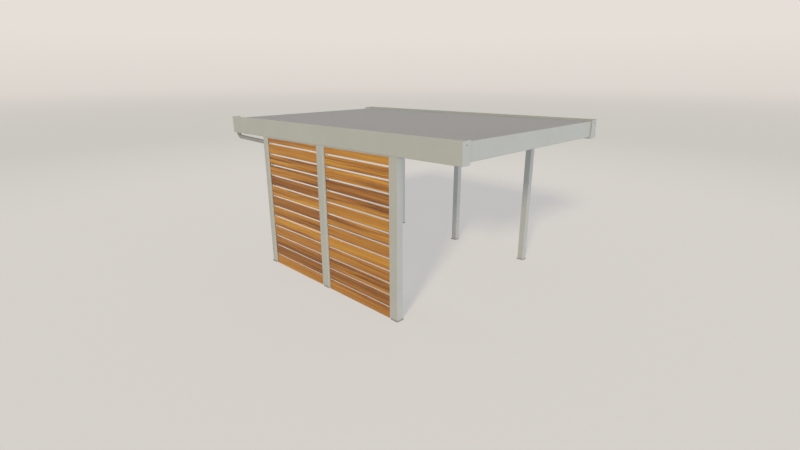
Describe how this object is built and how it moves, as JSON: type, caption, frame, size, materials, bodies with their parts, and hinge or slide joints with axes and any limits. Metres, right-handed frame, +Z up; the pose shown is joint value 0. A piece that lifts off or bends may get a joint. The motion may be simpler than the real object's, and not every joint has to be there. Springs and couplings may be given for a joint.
{
  "type": "carport",
  "caption": "Flat-roofed steel carport with folded side beams on square posts, a smooth roof that falls to a back gutter with a drain pipe, and a slatted board wall along its left side.",
  "frame": {"origin": "on the ground, in the middle of the roof's length and width", "axes": "+X across the drive-in towards the open side, +Y from the drive-in front to the back, +Z up"},
  "size_m": [3.194, 5.0033, 2.4739],
  "materials": {
    "paint": "light grey satin powder coat",
    "plate": "grey satin powder coat",
    "roof": "matt dark grey coating",
    "deck": "grey-white coil coating",
    "pipe": "matt grey",
    "wood": "oiled, amber brown"
  },
  "bodies": {
    "root": {"post_front_left": "paint", "post_middle_left": "paint", "post_back_left": "paint", "post_front_right": "paint", "post_middle_right": "paint", "post_back_right": "paint", "base_plate_front_left": "plate", "base_plate_middle_left": "plate", "base_plate_back_left": "plate", "base_plate_front_right": "plate", "base_plate_middle_right": "plate", "base_plate_back_right": "plate", "head_plate_front_left": "paint", "head_plate_middle_left": "paint", "head_plate_back_left": "paint", "head_plate_front_right": "paint", "head_plate_middle_right": "paint", "head_plate_back_right": "paint", "side_beam_left": "paint", "side_beam_right": "paint", "end_cap_front_left": "paint", "end_cap_front_right": "paint", "end_cap_back_left": "paint", "end_cap_back_right": "paint", "front_fascia": "paint", "back_fascia": "paint", "purlin_1": "paint", "purlin_2": "paint", "purlin_3": "paint", "purlin_4": "paint", "purlin_5": "paint", "roof_deck": "deck", "roof_cover": "roof", "gutter": "paint", "drain_elbow": "pipe", "drain_pipe": "pipe", "channel_front_bay_front": "paint", "channel_front_bay_back": "paint", "channel_back_bay_front": "paint", "channel_back_bay_back": "paint", "head_rail_front_bay": "paint", "head_rail_back_bay": "paint", "boards_front_bay": "wood", "boards_back_bay": "wood"}
  },
  "joints": []
}
